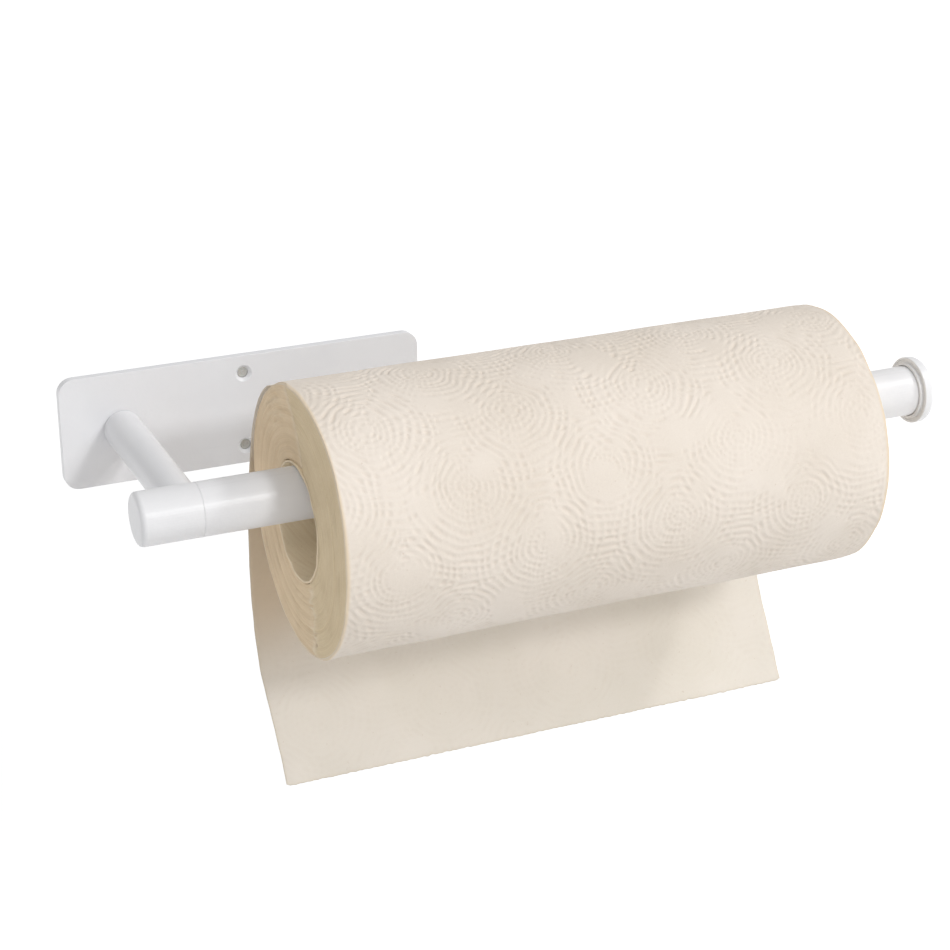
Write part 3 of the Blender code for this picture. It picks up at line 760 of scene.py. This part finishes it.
# ================================================================ the core
def core_tube():
    """Spiral-wound board: seams step by a fraction of a millimetre along a helix."""
    around, along = 256, 180
    theta = np.arange(around) * TAU / around
    ragged = Waves(31, 18, 2.0, 22.0, around=TAU)
    dents = Waves(32, 14, TAU / 0.09, TAU / 0.03)
    xs = np.linspace(X0 + 0.0003, X1 - 0.0003, along)
    LEAD = 0.076                                       # advance of the helix per turn

    def at(x, r, out):
        helix = np.mod(x / LEAD + theta / TAU, 1.0)
        step = np.exp(-((helix - 0.5) * LEAD / 0.0011) ** 2)
        dr = -0.00012 * step + 0.00005 * dents(x, theta * CORE_RO)
        rr = r + (dr if not out else -np.abs(dr) * 0.4)
        return np.stack([x + 0 * theta, AX_Y + rr * np.cos(theta), AX_Z + rr * np.sin(theta)], -1), helix, step

    rows, wind, rim, seam = [], [], [], []

    def add(x, r, out, m):
        p, h, s = at(x, r, out)
        rows.append(p)
        wind.append(h)
        seam.append(s * (0 if out else 1))
        rim.append(np.full(around, m, float))

    left = X0 + 0.0003 - 0.00025 * (1 + 0.5 * ragged(0.0, theta))
    right = X1 - 0.0003 + 0.00025 * (1 + 0.5 * ragged(2.0, theta))
    ri, ro = CORE_RI + 0.00005, CORE_RO
    # the inside, right to left, then the left rim, the outside and the right rim
    for k, x in enumerate(xs[::-1]):
        add(x, ri, False, 0.0)
    for r, m in ((ri + 0.00008, 0.9), ((ri + ro) / 2, 1.0), (ro - 0.00008, 0.9)):
        p, h, s = at(X0, r, True)
        p[:, 0] = left
        rows.append(p); wind.append(h); seam.append(0 * h); rim.append(np.full(around, m))
    for x in xs[::6]:
        add(x, ro, True, 0.0)
    for r, m in ((ro - 0.00008, 0.9), ((ri + ro) / 2, 1.0), (ri + 0.00008, 0.9)):
        p, h, s = at(X1, r, True)
        p[:, 0] = right
        rows.append(p); wind.append(h); seam.append(0 * h); rim.append(np.full(around, m))
    points = np.stack(rows)
    faces = quads(len(rows), around, wrap_u=True, wrap_v=True)
    return build("core_tube", points, faces, {"wind": np.stack(wind), "rim": np.stack(rim), "seam": np.stack(seam)},
                 (board_mat,))


core = core_tube()
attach(core, "roll")
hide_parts("roll_core")


# ================================================================ the hanging sheet
START, LEAVE = 56.0, 20.0         # degrees above the wall side: perforated start, end of contact
# height and distance of the free part, from the roll to the hem, at the left and right edges
FREE_LEFT = [(-0.0354, -0.0100), (-0.0320, -0.0280), (-0.0302, -0.0460), (-0.0303, -0.0640), (-0.0330, -0.0820),
             (-0.0395, -0.0988), (-0.0512, -0.1125), (-0.0604, -0.1240), (-0.0672, -0.1343)]
FREE_RIGHT = [(-0.0358, -0.0100), (-0.0343, -0.0280), (-0.0352, -0.0460), (-0.0386, -0.0640), (-0.0440, -0.0820),
              (-0.0524, -0.0995), (-0.0602, -0.1118), (-0.0664, -0.1222), (-0.0718, -0.1321)]


def catmull(points, samples):
    """Even samples along a smooth curve through points, which may be unevenly spaced."""
    pts = np.array(points, float)
    gap = np.hypot(*np.diff(pts, axis=0).T)[:, None]
    step = np.diff(pts, axis=0) / gap
    slope = np.vstack([step[:1], (step[:-1] * gap[1:] + step[1:] * gap[:-1]) / (gap[:-1] + gap[1:]), step[-1:]])
    out = []
    t = np.linspace(0, 1, 24, endpoint=False)[:, None]
    for i in range(len(pts) - 1):
        out.append((2 * t ** 3 - 3 * t ** 2 + 1) * pts[i] + (t ** 3 - 2 * t ** 2 + t) * gap[i] * slope[i]
                   + (3 * t ** 2 - 2 * t ** 3) * pts[i + 1] + (t ** 3 - t ** 2) * gap[i] * slope[i + 1])
    out.append(pts[-1:])
    run = np.vstack(out)
    length = np.concatenate([[0], np.cumsum(np.hypot(*np.diff(run, axis=0).T))])
    at = np.linspace(0, length[-1], samples)
    return np.stack([np.interp(at, length, run[:, k]) for k in range(2)], -1), length[-1]


def loose_sheet():
    n_x, n_s = 318, 268
    thick = 0.00034
    angles = np.radians(np.linspace(START, LEAVE, 24))
    # middle of the sheet where it lies on the roll: pressed on at the perforated start
    lie_r = ROLL_R + 0.00018 + 0.00040 * smoothstep(0.0, 0.25, np.linspace(0, 1, 24))
    wrap = np.stack([AX_Y + lie_r * np.cos(angles), AX_Z + lie_r * np.sin(angles)], -1)
    runs, lengths = [], []
    for free in (FREE_LEFT, FREE_RIGHT):
        run, length = catmull(np.vstack([wrap, np.array(free)]), n_s)
        runs.append(run)
        lengths.append(length)
    u = np.linspace(0, 1, n_x)
    v = np.linspace(0, 1, n_s)
    blend = u[:, None, None]
    yz = runs[0][None] * (1 - blend) + runs[1][None] * blend
    length = 0.5 * sum(lengths)
    s = v * length
    uu, ss = np.meshgrid(u, s, indexing="ij")
    x = X0 + u[:, None] * ROLL_L + 0 * ss
    free_part = smoothstep(0.045, 0.075, ss)

    # the edges' small ins and outs, and a rounded corner at each end of the hem
    edge = Waves(41, 20, TAU / 0.05, TAU / 0.008)
    x = x + (0.00005 * edge(ss, 0.2) * (1 - smoothstep(0.0, 0.02, uu)) + 0.00005 * edge(ss, 0.9) * smoothstep(0.98, 1.0, uu))
    # slow ripples of the hanging part, across the sheet
    ripple = Waves(42, 14, TAU / 0.13, TAU / 0.05)
    inside = smoothstep(0.0, 0.10, uu) * smoothstep(0.0, 0.10, 1 - uu)
    swell = free_part * (0.00050 * ripple(x, ss) * (0.25 + 0.75 * inside) + 0.0007 * np.sin(math.pi * uu) * smoothstep(0.10, 0.19, ss))

    p = np.stack([x, yz[..., 0], yz[..., 1]], -1)
    du = np.gradient(p, axis=0)
    dv = np.gradient(p, axis=1)
    n = np.cross(du, dv)
    n /= np.linalg.norm(n, axis=-1, keepdims=True)
    mid = n[n_x // 2, n_s // 2]
    n = n * (1.0 if mid[1] > 0 else -1.0)              # outward from the roll, towards the wall
    # web coordinate, so that the pattern carries on from the roll's
    arc = math.radians(START) * ROLL_R - ss
    d = emboss(x, -arc)
    depth = 0.00010 * free_part + 0.00009 * (1 - free_part)
    relief = -depth * (d - 0.35) + 0.00008 * pillow(x, -arc) * free_part
    centre = p + n * (relief + swell)[..., None]

    # the hem is a torn perforation: short nicks between ties
    teeth = 0.00007 * np.sign(np.sin(TAU * x / 0.0031)) + 0.00007 * edge(x * 3.0, 0.4)
    pull = dv / np.linalg.norm(dv, axis=-1, keepdims=True)
    near_hem = smoothstep(length - 0.0030, length, ss)
    near_start = 1 - smoothstep(0.0, 0.0030, ss)
    corner = 0.0008 * ((1 - smoothstep(0.0, 0.010, uu)) ** 2 + smoothstep(0.99, 1.0, uu) ** 2)
    centre = centre + pull * ((teeth - corner) * near_hem + teeth * near_start)[..., None]

    # thin towards the cut edges
    edge_gap = np.minimum(np.minimum(uu, 1 - uu) * ROLL_L, np.minimum(ss, length - ss))
    half = 0.5 * thick * (0.35 + 0.65 * smoothstep(0.0, 0.0016, edge_gap))
    outer = centre + n * half[..., None]
    inner = centre - n * half[..., None]

    count = n_x * n_s
    points = np.vstack([outer.reshape(-1, 3), inner.reshape(-1, 3)])
    top = quads(n_x, n_s)
    bottom = quads(n_x, n_s, start=count)[:, ::-1]
    grid = np.arange(count).reshape(n_x, n_s)
    loop = np.concatenate([grid[:, 0], grid[-1, 1:], grid[-2::-1, -1], grid[0, -2:0:-1]])
    nxt = np.roll(loop, -1)
    wall = np.stack([loop, nxt, nxt + count, loop + count], -1)
    # turn the side walls so that they agree with the two faces
    a, b = loop[0], nxt[0]
    has = bool(((top == a) & (np.roll(top, -1, axis=1) == b)).any())
    if has:
        wall = wall[:, ::-1]
    faces = np.vstack([top, bottom, wall])
    rim = 1 - smoothstep(0.0, 0.0011, edge_gap)
    # painted shade and painted bounce light: the near corner of the sheet's inner side, close behind the roll's tan
    # end, is mixed towards tan
    warm = (1 - smoothstep(0.004, 0.060, uu * ROLL_L)) * smoothstep(0.030, 0.050, ss) * (1 - smoothstep(0.105, 0.150, ss))

    def both(q, r=None):
        return np.concatenate([q.ravel(), (q if r is None else r).ravel()])

    obj = build("loose_sheet_paper", points, faces,
                {"pressed": both(d * (0.35 + 0.65 * free_part)), "rim": both(rim), "warm": both(0 * warm, warm)},
                (sheet_mat,))
    return obj, length


sheet, sheet_length = loose_sheet()
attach(sheet, "loose_sheet")
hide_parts("hanging_sheet")


# ================================================================ floor, light, world
def floor():
    """A pale matt floor that glows as a white backdrop does, less so in front of and below the object, where the dimmer
    glow is a painted soft shadow.
    """
    p = Paint("pale_floor", 0.85)
    slow = p.noise(2.2, 3.0, 0.5)
    p.to("Base Color", p.mix(p.fit(slow, 0.3, 0.7, 0.0, 1.0), (0.745, 0.745, 0.745), (0.755, 0.755, 0.755)))
    p.set(Specular_IOR_Level=0.1, Emission_Color=(1.0, 1.0, 1.0, 1.0))
    cut = p.split()
    aside, along = p.math("ADD", cut[0], 0.10), p.math("ADD", cut[1], 0.50)
    away = p.math("SQRT", p.math("ADD", p.math("MULTIPLY", aside, aside), p.math("MULTIPLY", along, along)))
    depth = p.math("ADD", cut[1], p.math("MULTIPLY", cut[0], 0.45))
    # painted soft shadow: the glow dimmed in a patch in front of and below the object
    near = p.fit(depth, -0.22, 0.26, p.fit(away, 0.05, 0.76, 0.0, 0.07, soft=True), 0.485, soft=True)
    glow = p.math("ADD", near, p.fit(away, 1.2, 3.2, 0.0, 0.42, soft=True))
    p.to("Emission Strength", p.math("MULTIPLY", glow, p.fit(away, 5.0, 13.0, 1.0, 0.42)))
    z, half = -0.46, 14.0
    n = 9
    xs = np.linspace(-half, half, n)
    gx, gy = np.meshgrid(xs, xs, indexing="ij")
    points = np.stack([gx, gy, np.full_like(gx, z)], -1)
    obj = build("floor", points, quads(n, n), None, (p.mat,), outward=False)
    if obj.data.polygons[0].normal.z < 0:
        obj.data.flip_normals()


floor()


def area_light(name, towards, distance, size, strength, colour=(1, 1, 1)):
    """A round soft light in direction towards. strength is what it adds to a white surface that faces it."""
    middle = Vector((0.09, -0.07, -0.03))
    place = middle + Vector(towards).normalized() * distance
    data = bpy.data.lights.new(name, "AREA")
    data.shape = "DISK"
    data.size = size
    data.energy = strength * math.pi ** 2 * distance ** 2
    data.color = colour
    obj = bpy.data.objects.new(name, data)
    obj.matrix_world = Matrix.Translation(place) @ (middle - place).to_track_quat("-Z", "Y").to_matrix().to_4x4()
    scene.collection.objects.link(obj)


area_light("key", (0.66, -0.31, 0.68), 2.4, 0.27, 0.240)
area_light("front_box", (0.290, -0.797, 0.530), 2.2, 0.32, 0.285)
area_light("left_box", (-0.695, -0.486, 0.530), 2.2, 0.32, 0.060)
area_light("right_box", (0.970, -0.170, 0.160), 2.2, 0.90, 0.05)


def world():
    """A soft white studio. Its glow is a sum of broad lobes, front, back, left, right and top,
    and of a band along the horizon."""
    w = bpy.data.worlds.new("studio")
    scene.world = w
    w.use_nodes = True
    t = w.node_tree
    back = t.nodes["Background"]
    coord = t.nodes.new("ShaderNodeTexCoord")
    total = None
    for towards, glow in (((0, -1, 0), FRONT), ((0, 1, 0), BACK), ((-1, 0, 0), LEFT), ((1, 0, 0), RIGHT), ((0, 0, 1), TOP)):
        dot = t.nodes.new("ShaderNodeVectorMath")
        dot.operation = "DOT_PRODUCT"
        t.links.new(coord.outputs["Generated"], dot.inputs[0])
        dot.inputs[1].default_value = tuple(glow * v for v in towards)
        lobe = t.nodes.new("ShaderNodeMath")
        lobe.operation = "MAXIMUM"
        t.links.new(dot.outputs["Value"], lobe.inputs[0])
        lobe.inputs[1].default_value = 0.0
        if total is not None:
            both = t.nodes.new("ShaderNodeMath")
            both.operation = "ADD"
            t.links.new(total, both.inputs[0])
            t.links.new(lobe.outputs[0], both.inputs[1])
            lobe = both
        total = lobe.outputs[0]
    height = t.nodes.new("ShaderNodeVectorMath")
    height.operation = "DOT_PRODUCT"
    t.links.new(coord.outputs["Generated"], height.inputs[0])
    height.inputs[1].default_value = (0.0, 0.0, 3.0)
    last = height.outputs["Value"]
    for kind, first, second in (("ABSOLUTE", None, None), ("SUBTRACT", 1.0, None), ("MAXIMUM", None, 0.0),
                                ("MULTIPLY", None, HORIZON), ("ADD", None, total)):
        step = t.nodes.new("ShaderNodeMath")
        step.operation = kind
        t.links.new(last, step.inputs[0 if first is None else 1])
        if first is not None:
            step.inputs[0].default_value = first
        if isinstance(second, float):
            step.inputs[1].default_value = second
        elif second is not None:
            t.links.new(second, step.inputs[1])
        last = step.outputs[0]
    colour = t.nodes.new("ShaderNodeCombineColor")
    for k in range(3):
        t.links.new(last, colour.inputs[k])
    t.links.new(colour.outputs[0], back.inputs["Color"])
    back.inputs["Strength"].default_value = 1.0


FRONT, BACK, LEFT, RIGHT, TOP, HORIZON = 0.43, 0.46, 0.11, 0.30, 0.40, 0.36
world()
scene.view_settings.view_transform = "Standard"
scene.view_settings.look = "None"
scene.view_settings.exposure = 0.0
scene.view_settings.gamma = 1.0

bpy.context.view_layer.update()
